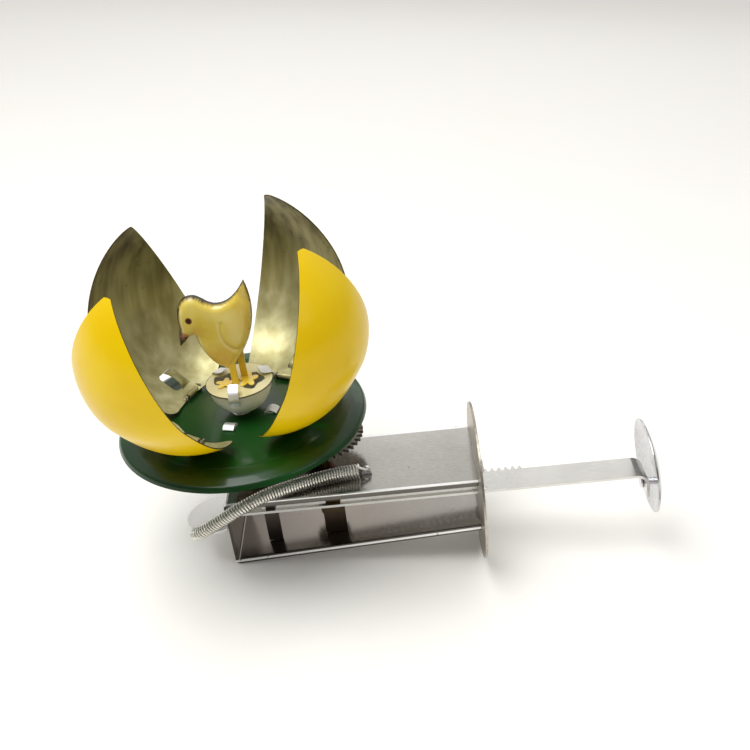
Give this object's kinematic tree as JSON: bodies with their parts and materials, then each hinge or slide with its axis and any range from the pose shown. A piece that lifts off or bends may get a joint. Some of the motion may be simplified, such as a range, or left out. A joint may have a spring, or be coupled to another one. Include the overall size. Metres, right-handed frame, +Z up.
{
  "type": "push-plunger spinning egg toy",
  "caption": "Hand-held tin push toy: a thumb plunger rack in a flat steel frame spins a green disc whose hinged egg petals open around a chick on a cup.",
  "frame": {"origin": "centre of the bounding box at the level of the surface the toy rests on", "axes": "+X from the egg towards the thumb pad, +Y away from the open near side of the frame, +Z up; the toy leans back on its end plate and the frame's low left edge, as it lies on a table"},
  "size_m": [0.1856, 0.092, 0.1178],
  "materials": {
    "yellow_lacquer": "glossy yellow outside, olive-gold lacquer inside",
    "frame_tin": "bright tinned sheet, lightly brushed",
    "brass": "dull brass",
    "spring_wire": "drawn wire",
    "bright_strip": "bright nickel plate",
    "red_fibre": "red fibre",
    "green_enamel": "deep green gloss enamel",
    "grey_tin": "pale grey and cream lacquer",
    "chick_print": "yellow printed tin with orange shading",
    "plated_steel": "zinc plated"
  },
  "bodies": {
    "frame": {"frame_strip": "frame_tin", "end_plate": "frame_tin", "guide_strip_left": "brass", "guide_strip_right": "brass", "spindle_bush": "brass", "idler_bush_upper": "brass", "idler_bush_lower": "brass", "return_spring": "spring_wire"},
    "rack": {"rack_strip": "bright_strip", "thumb_pad": "bright_strip", "pad_rivet": "bright_strip"},
    "idler": {"idler_shaft": "plated_steel", "idler_pinion": "brass", "idler_gear": "plated_steel", "gear_washer": "red_fibre", "gear_clip": "plated_steel"},
    "rotor": {"spindle": "plated_steel", "spindle_clip": "plated_steel", "spindle_pinion": "brass", "spindle_sleeve": "plated_steel", "green_disc": "green_enamel", "disc_clip": "plated_steel", "cup": "grey_tin", "chick_stand": "grey_tin", "chick_half_near": "chick_print", "chick_half_far": "chick_print", "hinge_bracket_1": "plated_steel", "hinge_pin_1": "plated_steel", "hinge_bracket_2": "plated_steel", "hinge_pin_2": "plated_steel", "hinge_bracket_3": "plated_steel", "hinge_pin_3": "plated_steel", "hinge_bracket_4": "plated_steel", "hinge_pin_4": "plated_steel"},
    "petal_1_body": {"petal_1": "yellow_lacquer"},
    "petal_2_body": {"petal_2": "yellow_lacquer"},
    "petal_3_body": {"petal_3": "yellow_lacquer"},
    "petal_4_body": {"petal_4": "yellow_lacquer"}
  },
  "joints": [
    {"name": "rack_slide", "type": "slide", "parent": "frame", "child": "rack", "axis": [-0.9926, 0, -0.1213], "range_m": [0, 0.048], "stiffness_N_per_m": 60, "springref_m": -0.02, "deforming": ["return_spring"]},
    {"name": "idler_spin", "type": "hinge", "parent": "frame", "child": "idler", "pos_m": [-0.02281, 0.01064, 0.02863], "axis": [-0.1213, 0, 0.9926], "range_deg": [-525.8, 2]},
    {"name": "disc_spin", "type": "hinge", "parent": "frame", "child": "rotor", "pos_m": [-0.0434, 0.00014, 0.02612], "axis": [-0.1213, 0, 0.9926], "range_deg": [-2, 1102.1]},
    {"name": "petal_1_hinge", "type": "hinge", "parent": "rotor", "child": "petal_1_body", "pos_m": [-0.03339, 0.01621, 0.05691], "axis": [0.9011, -0.4195, 0.1101], "range_deg": [0, 32.4]},
    {"name": "petal_2_hinge", "type": "hinge", "parent": "rotor", "child": "petal_2_body", "pos_m": [-0.06439, 0.01184, 0.05312], "axis": [0.3862, 0.9212, 0.0472], "range_deg": [0, 24.4]},
    {"name": "petal_3_hinge", "type": "hinge", "parent": "rotor", "child": "petal_3_body", "pos_m": [-0.06011, -0.01628, 0.05364], "axis": [-0.8151, 0.5707, -0.0996], "range_deg": [0, 35.9]},
    {"name": "petal_4_hinge", "type": "hinge", "parent": "rotor", "child": "petal_4_body", "pos_m": [-0.0297, -0.01181, 0.05736], "axis": [-0.5097, -0.8581, -0.0623], "range_deg": [0, 30]}
  ],
  "couplings": [
    {"joint": "idler_spin", "follows": "rack_slide", "rad_per_m": -190.48},
    {"joint": "disc_spin", "follows": "rack_slide", "rad_per_m": 400}
  ]
}
